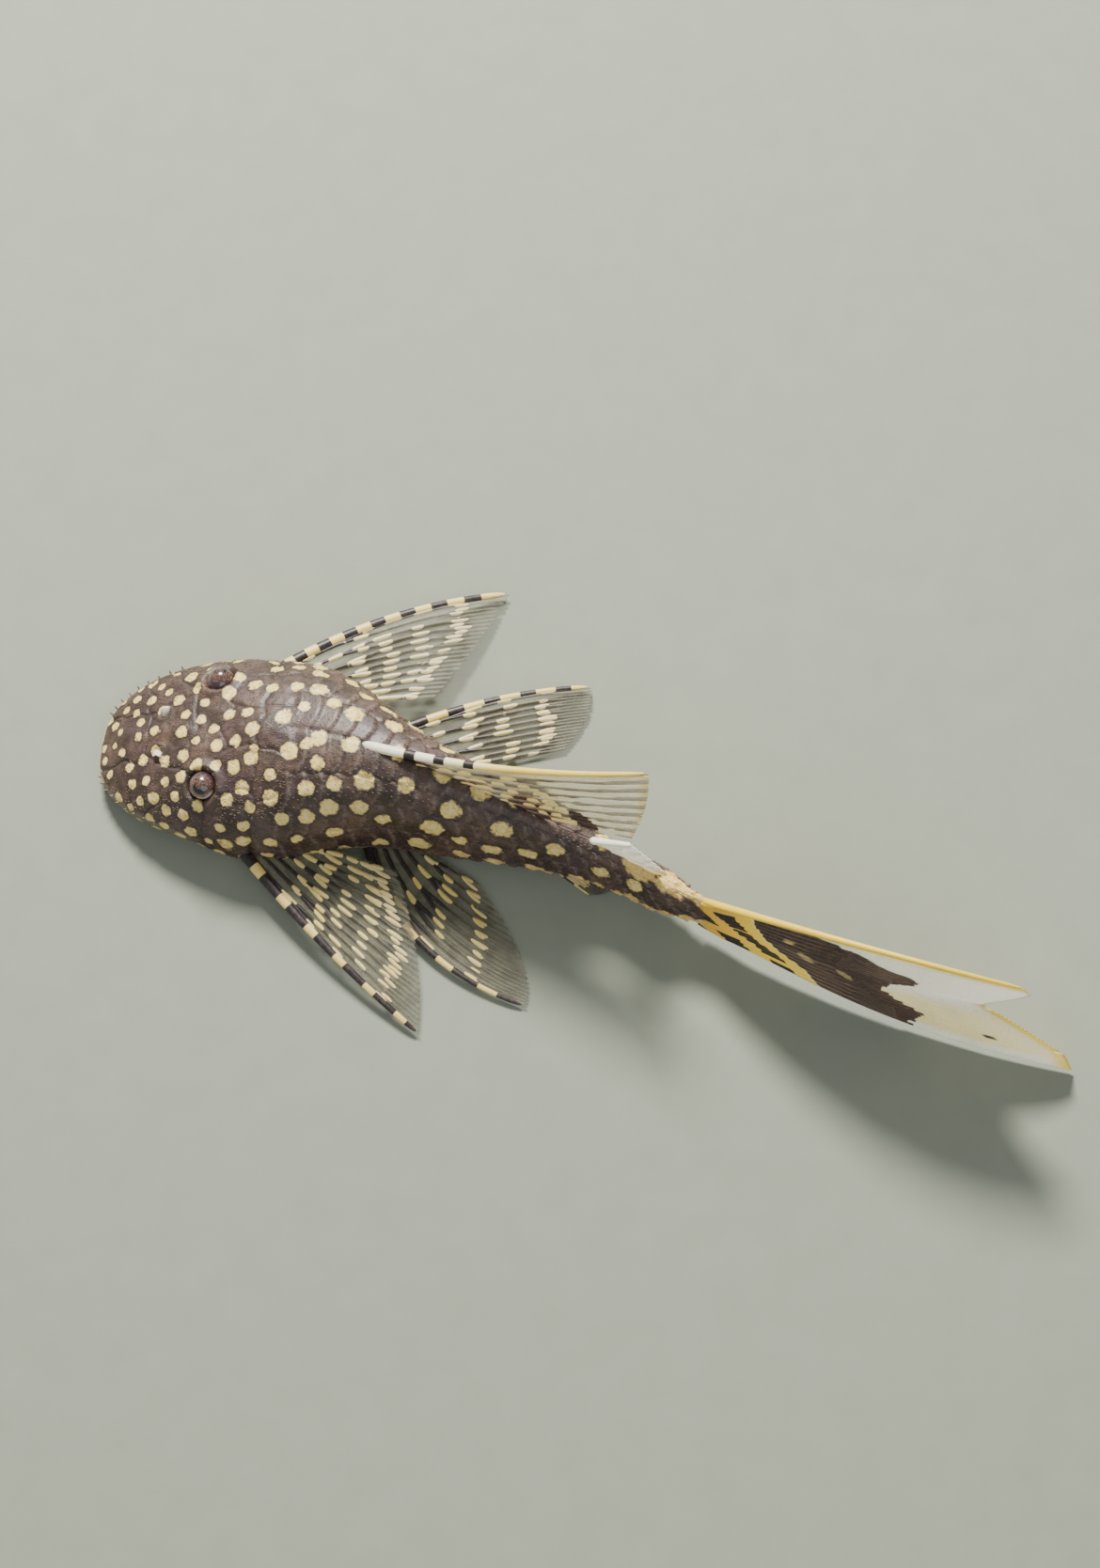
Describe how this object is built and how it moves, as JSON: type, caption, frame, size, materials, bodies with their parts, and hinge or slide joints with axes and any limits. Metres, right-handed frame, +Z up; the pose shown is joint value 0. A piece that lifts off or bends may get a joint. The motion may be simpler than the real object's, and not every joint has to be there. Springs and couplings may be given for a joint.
{
  "type": "bristlenose pleco",
  "caption": "Still, life-size model of a young suckermouth armoured catfish, lying on its belly with fins spread and tail swung to its left.",
  "frame": {"origin": "on the belly's flat, on the midline, 12 mm behind the snout", "axes": "-X towards the snout, +Y towards the fish's right side, +Z up from the floor"},
  "size_m": [0.0709, 0.0346, 0.0164],
  "materials": {
    "skin": "wet armoured skin, dark purple-brown with cream-yellow spots",
    "fin": "thin wet fin skin between bony rays, grey-green with rows of cream dashes",
    "eye": "clear wet eye over a dark gold iris",
    "lip": "soft wet lip skin with small papillae"
  },
  "bodies": {
    "root": {"head": "skin", "trunk": "skin", "tail_stalk": "skin", "eye_right": "eye", "eye_left": "eye", "sucker_mouth": "lip", "barbel_right": "lip", "barbel_left": "lip", "pectoral_fin_right": "fin", "pectoral_fin_left": "fin", "pelvic_fin_right": "fin", "pelvic_fin_left": "fin", "dorsal_fin": "fin", "tail_fin": "fin", "adipose_fin": "fin", "anal_fin": "fin"}
  },
  "joints": []
}
